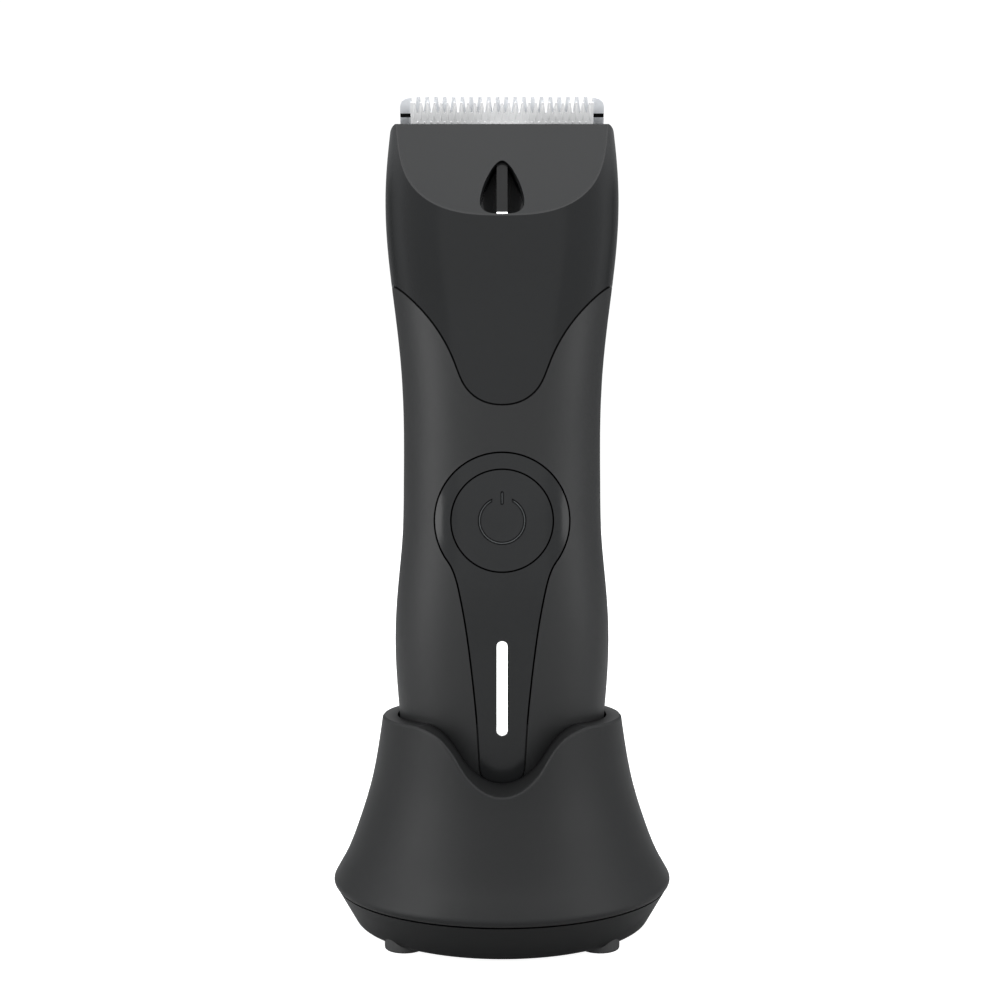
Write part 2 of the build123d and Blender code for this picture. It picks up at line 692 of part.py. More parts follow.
# ---------------------------------------------------------------- blade cartridge
with BuildPart() as comb_blade:
    with BuildSketch(blade_plane) as comb_lugs:
        with Locations((0, -3.25)):
            Rectangle(2 * COMB_HALF_WIDTH, 6.1)
        fillet(comb_lugs.vertices().group_by(Axis.Y)[-1], 1.9)
    extrude(amount=-COMB_THICKNESS)
    with BuildSketch(blade_plane):
        with Locations((0, -6.5)):
            Rectangle(35.0, 13)
        with Locations((0, -9.5)):
            Rectangle(36.6, 7)
    extrude(amount=-COMB_THICKNESS)
    root = COMB_TOOTH - 0.2
    with BuildSketch(blade_plane):
        with GridLocations(COMB_PITCH, 0, COMB_TEETH + 1, 1):
            Polygon((-0.2, -root), (0.2, -root), (0.6, 0), (0.62, 0.5), (-0.62, 0.5), (-0.6, 0), align=None)
            with Locations((0, -root)):
                Circle(0.2)
        with Locations((-BLADE_SCREW_X, -BLADE_SCREW_DOWN), (BLADE_SCREW_X, -BLADE_SCREW_DOWN)):
            Circle(0.95)
    extrude(amount=-COMB_THICKNESS, mode=Mode.SUBTRACT)
    with BuildSketch(blade_plane):
        with Locations((-COMB_HALF_WIDTH + 1, -3.57), (COMB_HALF_WIDTH - 1, -3.57)):
            Rectangle(2.3, 0.75)
    extrude(amount=-0.4, mode=Mode.SUBTRACT)
save(comb_blade.part, "comb_blade")

with BuildPart() as cutter_blade:
    with BuildSketch(blade_plane.offset(SLIDE_GAP)):
        with Locations((0, -(CUTTER_TIP + CUTTER_FOOT) / 2)):
            Rectangle(2 * CUTTER_HALF_WIDTH, CUTTER_FOOT - CUTTER_TIP)
        with GridLocations(CUTTER_PITCH, 0, CUTTER_TEETH - 1, 1):
            Polygon(
                (-0.12, -CUTTER_ROOT), (0.12, -CUTTER_ROOT), (0.5, -CUTTER_TIP), (0.5, -0.5), (-0.5, -0.5),
                (-0.5, -CUTTER_TIP),
                align=None, mode=Mode.SUBTRACT,
            )
    extrude(amount=CUTTER_THICKNESS)
save(cutter_blade.part, "cutter_blade")

with BuildPart() as blade_carrier:
    with BuildSketch(blade_plane):
        with Locations((0, -(CARRIER_TOP + 18.2) / 2)):
            Rectangle(2 * CARRIER_HALF, 18.2 - CARRIER_TOP)
        with Locations((0, -(CARRIER_TOP + HINGE_DOWN) / 2)):
            Rectangle(2 * BARREL_HALF, HINGE_DOWN - CARRIER_TOP)
    extrude(amount=CARRIER_THICKNESS)
    with BuildSketch(blade_plane.offset(-COMB_THICKNESS)):
        with Locations((0, -15.7)):
            Rectangle(2 * CARRIER_HALF, 5)
        with Locations((0, -16.6)):
            Rectangle(2 * BARREL_HALF, 6.8)
    extrude(amount=COMB_THICKNESS)
    with BuildSketch(hinge_plane.offset(-BARREL_HALF)):
        Circle(BARREL_RADIUS)
    extrude(amount=2 * BARREL_HALF)
    with BuildSketch(hinge_plane.offset(-BARREL_HALF)):
        Circle(HINGE_PIN_RADIUS + 0.05)
    extrude(amount=2 * BARREL_HALF, mode=Mode.SUBTRACT)
    with BuildSketch(blade_plane):
        with Locations((-BLADE_SCREW_X, -BLADE_SCREW_DOWN), (BLADE_SCREW_X, -BLADE_SCREW_DOWN)):
            Circle(0.9)
    extrude(amount=1.8, mode=Mode.SUBTRACT)
save(blade_carrier.part, "blade_carrier")

with BuildPart() as hinge_pin:
    with BuildSketch(hinge_plane.offset(-POCKET_HALF + 0.7)):
        Circle(HINGE_PIN_RADIUS)
    extrude(amount=2 * POCKET_HALF - 1.4)
save(hinge_pin.part, "hinge_pin")

with BuildPart() as blade_screws:
    with BuildSketch(blade_plane.offset(-COMB_THICKNESS)):
        with Locations((-BLADE_SCREW_X, -BLADE_SCREW_DOWN), (BLADE_SCREW_X, -BLADE_SCREW_DOWN)):
            Circle(1.7)
    extrude(amount=-0.8)
    fillet(blade_screws.edges().filter_by(GeomType.CIRCLE).group_by(Axis.Y)[-1], 0.3)
    with BuildSketch(blade_plane.offset(-COMB_THICKNESS - 0.8)):
        with Locations((-BLADE_SCREW_X, -BLADE_SCREW_DOWN), (BLADE_SCREW_X, -BLADE_SCREW_DOWN)):
            Rectangle(2.0, 0.4)
            Rectangle(0.4, 2.0)
    extrude(amount=0.4, mode=Mode.SUBTRACT)
    with BuildSketch(blade_plane.offset(-COMB_THICKNESS)):
        with Locations((-BLADE_SCREW_X, -BLADE_SCREW_DOWN), (BLADE_SCREW_X, -BLADE_SCREW_DOWN)):
            Circle(0.9)
    extrude(amount=COMB_THICKNESS + 1.8)
save(blade_screws.part, "blade_screws")

# The crank's fork: a block on the cutter, a leg down into the head, and a slot open to the back.
with BuildPart() as cutter_driver:
    with BuildSketch(blade_plane.offset(SLIDE_GAP + CUTTER_THICKNESS)):
        with Locations((0, -6.95)):
            Rectangle(10, 2.3)
    extrude(amount=3.4)
    with BuildSketch(Plane.XY.offset(FORK_TOP - 0.5)):
        with Locations((0, 0.1)):
            Rectangle(7, 2.2)
    extrude(amount=152.6 - FORK_TOP + 0.5)
    with BuildSketch(Plane.XY.offset(FORK_BOTTOM)):
        with Locations((0, -0.3)):
            Rectangle(9, 5.4)
    extrude(amount=FORK_TOP - FORK_BOTTOM)
    with BuildSketch(Plane.XY.offset(FORK_BOTTOM)):
        with Locations((0, 1.2)):
            Rectangle(2 * SLOT_HALF, 7)
    extrude(amount=PIN_TOP + 0.3 - FORK_BOTTOM, mode=Mode.SUBTRACT)
save(cutter_driver.part, "cutter_driver")

# Sheet spring, screwed to the carrier, whose two arms press the cutter on the comb.
with BuildPart() as cutter_spring:
    with BuildSketch(blade_section.offset(9)):
        Polygon(
            (-13.5, 2.2), (-13.5, 2.5), (-8.6, 2.5), (-6.9, 1.36), (-6.3, 1.3), (-6.3, 1.06), (-7.0, 1.1), (-8.7, 2.2),
            align=None,
        )
    extrude(amount=3)
    mirror(about=Plane.YZ)
    with BuildSketch(blade_plane.offset(CARRIER_THICKNESS)):
        with Locations((0, -12.3)):
            Rectangle(24, 2.4)
    extrude(amount=0.3)
save(cutter_spring.part, "cutter_spring")

# ---------------------------------------------------------------- dock
with BuildPart() as dock_outer:
    with BuildSketch(Plane.XZ):
        with BuildLine():
            Spline(
                (RIM_RADIUS, RIM_Z - 0.4), (23.9, 34.8), (25.4, 27.0), (27.8, 19.2), (30.15, 13.35), (32.05, 9.95),
                (32.45, 9.0), (DOCK_PART_RADIUS, DOCK_PART_Z),
            )
            Polyline(
                (DOCK_PART_RADIUS, DOCK_PART_Z), (0, DOCK_PART_Z), (0, RIM_Z), (RIM_RADIUS - 0.35, RIM_Z),
                (RIM_RADIUS, RIM_Z - 0.4),
            )
        make_face()
    revolve(axis=Axis.Z)

with BuildPart() as dock_shell:
    add(dock_outer.part)
    with BuildSketch(Plane.XZ):
        with BuildLine():
            Spline(
                (29.8, DOCK_PART_Z), (29.7, 9.4), (27.9, 13.6), (25.6, 19.4), (23.2, 27.2), (21.6, 35.0),
                (21.2, RIM_Z - DOCK_WALL),
            )
            Polyline(
                (21.2, RIM_Z - DOCK_WALL), (0, RIM_Z - DOCK_WALL), (0, DOCK_PART_Z), (29.8, DOCK_PART_Z),
            )
        make_face()
    revolve(axis=Axis.Z, mode=Mode.SUBTRACT)
    with BuildSketch(Plane.XY.offset(DOCK_PART_Z + 0.4)):
        for angle in BOSS_ANGLES:
            with PolarLocations(BOSS_CIRCLE, 1, angle):
                Circle(2.6)
    extrude(amount=17.6)

with BuildPart() as well_wall:
    add(handle_solid(-WELL_CLEARANCE - WELL_WALL))
    keep_between(WELL_UNDERSIDE, RIM_Z)
    add(dock_outer.part, mode=Mode.INTERSECT)

with BuildPart() as well:
    add(handle_solid(-WELL_CLEARANCE))
    keep_between(WELL_FLOOR, RIM_Z + 10)

with BuildPart() as notch:
    loft([notch_outline(8, 0).face(), notch_outline(40, 0).face()], ruled=True)

# Solid lip that joins the outer wall and the well's wall below the notch.
with BuildPart() as notch_lip:
    loft([notch_outline(8, NOTCH_LIP).face(), notch_outline(40, NOTCH_LIP).face()], ruled=True)
    add(dock_outer.part, mode=Mode.INTERSECT)

dock_shell.part = dock_shell.part + well_wall.part + notch_lip.part - well.part - notch.part
with BuildPart() as contact_holes:
    with BuildSketch(Plane.XY.offset(WELL_UNDERSIDE - 1)):
        with Locations((-CONTACT_X, 0), (CONTACT_X, 0)):
            Circle(0.98)
    extrude(amount=4)
dock_shell.part = dock_shell.part - contact_holes.part
with BuildPart() as boss_holes:
    with BuildSketch(Plane.XY.offset(DOCK_PART_Z)):
        for angle in BOSS_ANGLES:
            with PolarLocations(BOSS_CIRCLE, 1, angle):
                Circle(1.2)
    extrude(amount=6.8)
dock_shell.part = dock_shell.part - boss_holes.part
notch_edges = dock_shell.part.edges().filter_by(
    lambda edge: edge.length > 30 and abs(edge.center().X) < 1 and edge.center().Y < -8 and edge.center().Z > 28
)
dock_shell.part = fillet(notch_edges, NOTCH_ROUND)
save(dock_shell.part, "dock_shell")

with BuildPart() as dock_base:
    with BuildSketch(Plane.XZ) as base_profile:
        Polygon(
            (0, BASE_BOTTOM), (28.0, BASE_BOTTOM), (31.85, DOCK_PART_Z - GAP), (29.3, DOCK_PART_Z - GAP),
            (29.3, 9.2), (28.0, 9.2), (26.4, BASE_FLOOR), (0, BASE_FLOOR),
            align=None,
        )
        fillet(base_profile.vertices().sort_by_distance((28.0, BASE_BOTTOM))[0], 1.2)
    revolve(axis=Axis.Z)
    with BuildSketch(Plane.XY.offset(BASE_FLOOR - 0.4)):
        for angle in BOSS_ANGLES:
            with PolarLocations(BOSS_CIRCLE, 1, angle):
                Circle(3.2)
    extrude(amount=DOCK_PART_Z - BASE_FLOOR + 0.7)
    with BuildSketch(Plane.XY.offset(BASE_BOTTOM)):
        with PolarLocations(FOOT_CIRCLE, 4, 45):
            Circle(FOOT_RADIUS)
    extrude(amount=FOOT_TOP - BASE_BOTTOM, mode=Mode.SUBTRACT)
    for angle in BOSS_ANGLES:
        with BuildSketch(Plane.XY.offset(BASE_BOTTOM)):
            with PolarLocations(BOSS_CIRCLE, 1, angle):
                Circle(2.5)
        extrude(amount=2.2, mode=Mode.SUBTRACT)
        with BuildSketch(Plane.XY.offset(BASE_BOTTOM)):
            with PolarLocations(BOSS_CIRCLE, 1, angle):
                Circle(1.3)
        extrude(amount=10, mode=Mode.SUBTRACT)
    with BuildSketch(Plane.XZ.offset(-20)):
        with Locations((0, PORT_BOTTOM + PORT_HEIGHT / 2)):
            RectangleRounded(PORT_WIDTH + 0.3, PORT_HEIGHT + 0.3, 1.7)
    extrude(amount=-20, mode=Mode.SUBTRACT)
save(dock_base.part, "dock_base")

with BuildPart() as rubber_feet:
    with BuildSketch():
        with PolarLocations(FOOT_CIRCLE, 4, 45):
            Circle(FOOT_RADIUS)
    extrude(amount=FOOT_TOP)
    fillet(rubber_feet.edges().group_by(Axis.Z)[0], 0.4)
save(rubber_feet.part, "rubber_feet")

with BuildPart() as base_screws:
    with BuildSketch(Plane.XY.offset(BASE_BOTTOM + 0.7)):
        for angle in BOSS_ANGLES:
            with PolarLocations(BOSS_CIRCLE, 1, angle):
                Circle(2.3)
                RegularPolygon(1.1, 6, mode=Mode.SUBTRACT)
    extrude(amount=1.5)
    with BuildSketch(Plane.XY.offset(BASE_BOTTOM + 1.7)):
        for angle in BOSS_ANGLES:
            with PolarLocations(BOSS_CIRCLE, 1, angle):
                Circle(1.2)
    extrude(amount=12)
save(base_screws.part, "base_screws")

with BuildPart() as base_weight:
    with BuildSketch(Plane.XY.offset(BASE_FLOOR)):
        Circle(18.2)
    extrude(amount=DOCK_BOARD_BOTTOM - BASE_FLOOR)
    chamfer(base_weight.edges().group_by(Axis.Z)[-1], 0.5)
save(base_weight.part, "base_weight")

with BuildPart() as dock_board:
    with BuildSketch(Plane.XY.offset(DOCK_BOARD_BOTTOM)):
        with Locations((0, 8.25)):
            RectangleRounded(18, 32.5, 1.5)
    extrude(amount=DOCK_BOARD_TOP - DOCK_BOARD_BOTTOM)
save(dock_board.part, "dock_board")

with BuildPart() as charge_port:
    with BuildSketch(Plane.XZ.offset(-PORT_FRONT)):
        with Locations((0, PORT_BOTTOM + PORT_HEIGHT / 2)):
            RectangleRounded(PORT_WIDTH, PORT_HEIGHT, 1.55)
    extrude(amount=PORT_FRONT - PORT_MOUTH)
    with BuildSketch(Plane.XZ.offset(-PORT_MOUTH)):
        with Locations((0, PORT_BOTTOM + PORT_HEIGHT / 2)):
            RectangleRounded(PORT_WIDTH - 0.7, PORT_HEIGHT - 0.7, 1.2)
            Rectangle(6.6, 0.7, mode=Mode.SUBTRACT)
    extrude(amount=5.2, mode=Mode.SUBTRACT)
save(charge_port.part, "charge_port")

with BuildPart() as contact_holder:
    with BuildSketch(Plane.XY.offset(DOCK_BOARD_TOP)):
        RectangleRounded(17, 6.4, 1)
    extrude(amount=WELL_UNDERSIDE - DOCK_BOARD_TOP)
    with BuildSketch(Plane.XY.offset(DOCK_BOARD_TOP + 0.5)):
        with Locations((-CONTACT_X, 0), (CONTACT_X, 0)):
            Circle(1.4)
    extrude(amount=6, mode=Mode.SUBTRACT)
save(contact_holder.part, "contact_holder")

for side, name in ((-1, "left"), (1, "right")):
    with BuildPart() as contact_pin:
        with Locations((side * CONTACT_X, 0, 9.4)):
            Cylinder(0.6, 1.2, align=(Align.CENTER, Align.CENTER, Align.MIN))
        with Locations((side * CONTACT_X, 0, 10.4)):
            Cylinder(1.3, 1.5, align=(Align.CENTER, Align.CENTER, Align.MIN))
        with Locations((side * CONTACT_X, 0, 11.8)):
            Cylinder(0.9, CONTACT_TIP - 11.8, align=(Align.CENTER, Align.CENTER, Align.MIN))
        fillet(contact_pin.edges().group_by(Axis.Z)[-1], 0.5)
    save(contact_pin.part, f"contact_pin_{name}")

    with BuildPart() as contact_spring:
        with Locations((side * CONTACT_X, 0, DOCK_BOARD_TOP + 0.5)):
            Cylinder(1.2, 2.4, align=(Align.CENTER, Align.CENTER, Align.MIN))
            Cylinder(0.75, 2.4, align=(Align.CENTER, Align.CENTER, Align.MIN), mode=Mode.SUBTRACT)
    save(contact_spring.part, f"contact_spring_{name}")
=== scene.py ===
import json
import math

import bmesh
import bpy
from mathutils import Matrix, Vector
from mathutils.bvhtree import BVHTree

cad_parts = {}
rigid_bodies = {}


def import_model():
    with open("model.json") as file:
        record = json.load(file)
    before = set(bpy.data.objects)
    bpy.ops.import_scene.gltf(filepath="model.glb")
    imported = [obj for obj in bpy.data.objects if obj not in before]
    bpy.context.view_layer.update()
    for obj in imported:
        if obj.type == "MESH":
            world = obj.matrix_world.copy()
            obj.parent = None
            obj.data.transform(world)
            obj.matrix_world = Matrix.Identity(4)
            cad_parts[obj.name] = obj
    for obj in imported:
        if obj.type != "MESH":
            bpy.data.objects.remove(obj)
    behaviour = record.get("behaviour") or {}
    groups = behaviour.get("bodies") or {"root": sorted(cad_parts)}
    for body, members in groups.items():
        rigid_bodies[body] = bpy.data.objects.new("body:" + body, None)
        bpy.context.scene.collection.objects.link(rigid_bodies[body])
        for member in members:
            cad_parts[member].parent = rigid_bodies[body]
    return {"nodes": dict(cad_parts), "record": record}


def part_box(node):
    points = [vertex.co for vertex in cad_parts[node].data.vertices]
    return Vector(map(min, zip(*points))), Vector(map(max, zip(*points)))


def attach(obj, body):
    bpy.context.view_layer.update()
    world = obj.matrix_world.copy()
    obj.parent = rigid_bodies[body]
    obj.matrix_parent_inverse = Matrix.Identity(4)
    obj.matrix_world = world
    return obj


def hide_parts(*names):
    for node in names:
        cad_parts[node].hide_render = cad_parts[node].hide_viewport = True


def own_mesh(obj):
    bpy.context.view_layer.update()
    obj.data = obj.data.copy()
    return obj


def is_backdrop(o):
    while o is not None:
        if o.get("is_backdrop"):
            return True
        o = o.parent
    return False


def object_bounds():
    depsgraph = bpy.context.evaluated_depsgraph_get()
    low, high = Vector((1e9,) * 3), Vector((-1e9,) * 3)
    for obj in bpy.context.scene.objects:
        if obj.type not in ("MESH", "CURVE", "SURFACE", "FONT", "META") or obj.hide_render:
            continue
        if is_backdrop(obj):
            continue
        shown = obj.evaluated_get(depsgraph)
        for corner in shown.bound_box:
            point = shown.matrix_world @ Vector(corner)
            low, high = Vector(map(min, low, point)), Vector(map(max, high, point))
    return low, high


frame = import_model()
cad_low, cad_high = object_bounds()
nodes = frame["nodes"]

MM = 0.001
RIM_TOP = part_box("dock_shell")[1].z
GAP_REACH = 1.6 * MM  # of the shade beside a cover's gaps
LIP_REACH = 3.0 * MM  # of the shade on the dock's lip, beside the handle
LIP_FOOT = RIM_TOP - 14 * MM  # just under the dip in the dock's rim
GAP_DEPTH = 1.8  # power of the shade

# ---------------------------------------------------------------- materials


def srgb(level, tint=(1.0, 1.0, 1.0)):
    """A linear colour from a screen level of 0 to 255, with a tint on each channel."""
    value = level / 255
    linear = value / 12.92 if value <= 0.04045 else ((value + 0.055) / 1.055) ** 2.4
    return tuple(min(1.0, linear * t) for t in tint)


def start_material(name):
    """A material with its shader and object coordinates, ready for more nodes."""
    material = bpy.data.materials.new(name)
    material.use_nodes = True
    tree = material.node_tree
    shader = tree.nodes["Principled BSDF"]
    place = tree.nodes.new("ShaderNodeTexCoord")
    return material, tree, shader, place


def noise(tree, place, scale, detail, stretch=(1, 1, 1)):
    """A noise texture in object space; scale is in features per metre."""
    mapping = tree.nodes.new("ShaderNodeMapping")
    mapping.inputs["Scale"].default_value = stretch
    tree.links.new(place.outputs["Object"], mapping.inputs["Vector"])
    texture = tree.nodes.new("ShaderNodeTexNoise")
    texture.inputs["Scale"].default_value = scale
    texture.inputs["Detail"].default_value = detail
    tree.links.new(mapping.outputs["Vector"], texture.inputs["Vector"])
    return texture


NOISE_LOW = 0.3
NOISE_HIGH = 0.7


def spread(tree, source, low, high):
    """Maps a noise value to the range from low to high."""
    span = tree.nodes.new("ShaderNodeMapRange")
    span.inputs["From Min"].default_value = NOISE_LOW
    span.inputs["From Max"].default_value = NOISE_HIGH
    span.inputs["To Min"].default_value = low
    span.inputs["To Max"].default_value = high
    tree.links.new(source, span.inputs["Value"])
    return span.outputs["Result"]


def two_tones(tree, source, first, second):
    """A colour that moves between two tones with a noise value."""
    ramp = tree.nodes.new("ShaderNodeValToRGB")
    ramp.color_ramp.elements[0].position = NOISE_LOW
    ramp.color_ramp.elements[0].color = (*first, 1)
    ramp.color_ramp.elements[1].position = NOISE_HIGH
    ramp.color_ramp.elements[1].color = (*second, 1)
    tree.links.new(source, ramp.inputs["Fac"])
    return ramp.outputs["Color"]


def add_bump(tree, shader, heights, distance):
    """Bump from a height value; distance is the relief in metres."""
    bump = tree.nodes.new("ShaderNodeBump")
    bump.inputs["Distance"].default_value = distance
    tree.links.new(heights, bump.inputs["Height"])
    tree.links.new(bump.outputs["Normal"], shader.inputs["Normal"])


def gap_shade(tree, shader, place, tones, specular, reach, foot):
    """Darkens a surface in the narrow gaps beside it, from a height upwards."""
    hollow = tree.nodes.new("ShaderNodeAmbientOcclusion")
    hollow.samples = 8
    hollow.inputs["Distance"].default_value = reach
    height = tree.nodes.new("ShaderNodeSeparateXYZ")
    tree.links.new(place.outputs["Object"], height.inputs["Vector"])
    share = tree.nodes.new("ShaderNodeMapRange")
    share.inputs["From Min"].default_value = foot
    share.inputs["From Max"].default_value = foot + 2 * MM
    share.inputs["To Max"].default_value = GAP_DEPTH
    tree.links.new(height.outputs["Z"], share.inputs["Value"])
    openness = tree.nodes.new("ShaderNodeMath")
    openness.operation = "POWER"
    tree.links.new(hollow.outputs["AO"], openness.inputs[0])
    tree.links.new(share.outputs["Result"], openness.inputs[1])
    shaded = tree.nodes.new("ShaderNodeMix")
    shaded.data_type = "RGBA"
    shaded.inputs["A"].default_value = (0, 0, 0, 1)
    tree.links.new(openness.outputs["Value"], shaded.inputs["Factor"])
    tree.links.new(tones, shaded.inputs["B"])
    tree.links.new(shaded.outputs["Result"], shader.inputs["Base Color"])
    shine = tree.nodes.new("ShaderNodeMath")
    shine.operation = "MULTIPLY"
    tree.links.new(openness.outputs["Value"], shine.inputs[0])
    shine.inputs[1].default_value = specular
    tree.links.new(shine.outputs["Value"], shader.inputs["Specular IOR Level"])


def plastic(name, colour, roughness, grain, relief, coat=0.0, specular=0.5, reach=0.0, foot=RIM_TOP):
    """Moulded plastic with slight changes of tone and gloss and a fine grain; a reach shades its gaps."""
    material, tree, shader, place = start_material(name)
    broad = noise(tree, place, 60, 4.0)
    fine = noise(tree, place, grain, 2.0)
    dark = tuple(c * 0.93 for c in colour)
    light = tuple(c * 1.07 for c in colour)
    tones = two_tones(tree, broad.outputs["Fac"], dark, light)
    if reach:
        gap_shade(tree, shader, place, tones, specular, reach, foot)
    else:
        tree.links.new(tones, shader.inputs["Base Color"])
        shader.inputs["Specular IOR Level"].default_value = specular
    gloss = spread(tree, broad.outputs["Fac"], roughness * 0.93, roughness * 1.07)
    tree.links.new(gloss, shader.inputs["Roughness"])
    shader.inputs["Coat Weight"].default_value = coat
    shader.inputs["Coat Roughness"].default_value = 0.12
    add_bump(tree, shader, fine.outputs["Fac"], relief)
    return material


def metal(name, colour, roughness, stretch=(1, 1, 1), grain=2500, relief=0.000004):
    """Steel or plated metal with fine grinding lines along the least stretched axis."""
    material, tree, shader, place = start_material(name)
    shader.inputs["Metallic"].default_value = 1.0
    lines = noise(tree, place, grain, 3.0, stretch)
    cloud = noise(tree, place, 150, 3.0)
    dark = tuple(c * 0.88 for c in colour)
    tree.links.new(two_tones(tree, cloud.outputs["Fac"], dark, colour), shader.inputs["Base Color"])
    gloss = spread(tree, lines.outputs["Fac"], roughness * 0.75, roughness * 1.25)
    tree.links.new(gloss, shader.inputs["Roughness"])
    add_bump(tree, shader, lines.outputs["Fac"], relief)
    return material


def glowing(name, colour, strength):
    """A milky light guide, lit from behind, with slight random changes of tone."""
    material, tree, shader, place = start_material(name)
    cloud = noise(tree, place, 400, 2.0)
    tones = two_tones(tree, cloud.outputs["Fac"], tuple(c * 0.96 for c in colour), colour)
    tree.links.new(tones, shader.inputs["Base Color"])
    tree.links.new(tones, shader.inputs["Emission Color"])
    shader.inputs["Emission Strength"].default_value = strength
    tree.links.new(spread(tree, cloud.outputs["Fac"], 0.25, 0.35), shader.inputs["Roughness"])
    return material


COOL = (0.96, 1.0, 1.03)
looks = {
    "shell_gloss": plastic(
        "shell_gloss", srgb(25, COOL), 0.16, 900, 0.000002, specular=0.27, reach=GAP_REACH
    ),
    "soft_grip": plastic(
        "soft_grip", srgb(15, COOL), 0.5, 5200, 0.000012, specular=0.44, reach=GAP_REACH
    ),
    "face": plastic("face", srgb(27, COOL), 0.42, 4200, 0.000006, specular=0.25, reach=GAP_REACH),
    "control_black": plastic(
        "control_black", srgb(26, COOL), 0.18, 800, 0.000002, specular=0.29, reach=GAP_REACH
    ),
    "smoked_window": plastic("smoked_window", srgb(30), 0.12, 500, 0.000001, specular=0.08),
    "light_white": glowing("light_white", (1.0, 1.0, 1.0), 1.3),
    "dock_plastic": plastic(
        "dock_plastic", srgb(16, COOL), 0.52, 3600, 0.000006, specular=0.29, reach=LIP_REACH, foot=LIP_FOOT
    ),
    "base_plastic": plastic("base_plastic", srgb(13, COOL), 0.45, 3600, 0.000006, specular=0.2),
    "foot_rubber": plastic("foot_rubber", srgb(58), 0.75, 4200, 0.00002, specular=0.25),
    "seal_rubber": plastic("seal_rubber", srgb(5), 0.8, 4200, 0.00001, specular=0.1),
    "blade_steel": metal("blade_steel", (0.93, 0.95, 0.98), 0.38, (1, 14, 14)),
    "cutter_ceramic": plastic("cutter_ceramic", srgb(228), 0.35, 1500, 0.000003),
    "carrier_black": plastic("carrier_black", srgb(20), 0.5, 3600, 0.00001, specular=0.25),
    "spring_steel": metal("spring_steel", (0.62, 0.62, 0.63), 0.25, (14, 1, 14)),
    "screw_steel": metal("screw_steel", (0.28, 0.28, 0.29), 0.32),
    "driver_nylon": plastic("driver_nylon", srgb(178), 0.45, 2500, 0.000006),
    "motor_steel": metal("motor_steel", (0.5, 0.5, 0.49), 0.34, (14, 14, 1)),
    "frame_abs": plastic("frame_abs", srgb(45), 0.5, 2500, 0.00001),
    "board_green": plastic("board_green", (0.006, 0.06, 0.025), 0.35, 2500, 0.00001),
    "chip_black": plastic("chip_black", srgb(22), 0.4, 3500, 0.00001),
    "cell_wrap": plastic("cell_wrap", (0.012, 0.06, 0.2), 0.25, 600, 0.000006, coat=0.3),
    "gold_contact": metal("gold_contact", (0.83, 0.62, 0.27), 0.22),
    "weight_steel": metal("weight_steel", (0.3, 0.3, 0.3), 0.5, (1, 1, 1), 900, 0.00001),
}

slots = {part["node"]: part["material_slot"] for part in frame["record"]["subparts"]}
for name, node in nodes.items():
    node.data.materials.clear()
    node.data.materials.append(looks[slots[name]])

# ---------------------------------------------------------------- details on the blade
joints = {joint["name"]: joint for joint in frame["record"]["behaviour"]["joints"]}
BLADE_TILT = math.radians(25)
TIP_UP = 20 * MM  # from the blade's hinge to the comb's tips
TIP_BACK = 0.5 * MM
blade_up = Vector((0, -math.sin(BLADE_TILT), math.cos(BLADE_TILT)))
blade_out = Vector((0, -math.cos(BLADE_TILT), -math.sin(BLADE_TILT)))
blade_tip = Vector(joints["blade_release"]["pos_m"]) + blade_up * TIP_UP - blade_out * TIP_BACK


def on_blade(across, down, out):
    """A point in the blade's plane, from the middle of the comb's tips, in millimetres."""
    return blade_tip + Vector((across * MM, 0, 0)) - blade_up * down * MM + blade_out * out * MM


def finish_mesh(name, build, slot, body, smooth=True):
    """Turns mesh code into a piece with its finish and its body."""
    mesh = bpy.data.meshes.new(name)
    bmesh.ops.recalc_face_normals(build, faces=build.faces)
    build.to_mesh(mesh)
    build.free()
    for polygon in mesh.polygons:
        polygon.use_smooth = smooth
    piece = bpy.data.objects.new(name, mesh)
    bpy.context.collection.objects.link(piece)
    piece.data.materials.append(looks[slot])
    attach(piece, body)
    return piece


def add_rings(build, rings):
    """Skins a row of point rings into one closed tube."""
    loops = [[build.verts.new(point) for point in ring] for ring in rings]
    count = len(loops[0])
    for first, second in zip(loops, loops[1:]):
        for index in range(count):
            after = (index + 1) % count
            build.faces.new((first[index], first[after], second[after], second[index]))
    build.faces.new(loops[0])
    build.faces.new(list(reversed(loops[-1])))


CUTTER_PITCH = 1.322
CUTTER_FACE = 1.03  # of the cutter's front, over the comb
RIDGES = 26
RIDGE_PROFILE = (  # down from the tips, half width, height
    (1.35, 0.04, 0.02), (2.2, 0.13, 0.05), (3.4, 0.17, 0.07), (4.2, 0.15, 0.06), (4.3, 0.05, 0.02),
)
RIDGE_SIDES = 6
DOME_DOWN = 4.72
DOME_PROFILE = ((0.23, -0.02), (0.21, 0.03), (0.16, 0.07), (0.09, 0.1), (0.02, 0.11))  # radius, height
DOME_SIDES = 12
SUNK = 0.02  # of a raised detail's edge, under the surface it stands on

# One raised rib on each cutter tooth, tapered to the tip.
build = bmesh.new()
for tooth in range(RIDGES + 1):
    across = (tooth - RIDGES / 2) * CUTTER_PITCH
    rings = []
    for down, half, height in RIDGE_PROFILE:
        ring = []
        for step in range(RIDGE_SIDES + 1):
            turn = math.pi * step / RIDGE_SIDES
            out = CUTTER_FACE - SUNK + height * math.sin(turn)
            ring.append(on_blade(across + half * math.cos(turn), down, out))
        rings.append(ring)
    add_rings(build, rings)
finish_mesh("cutter_ridges", build, "cutter_ceramic", "cutter")

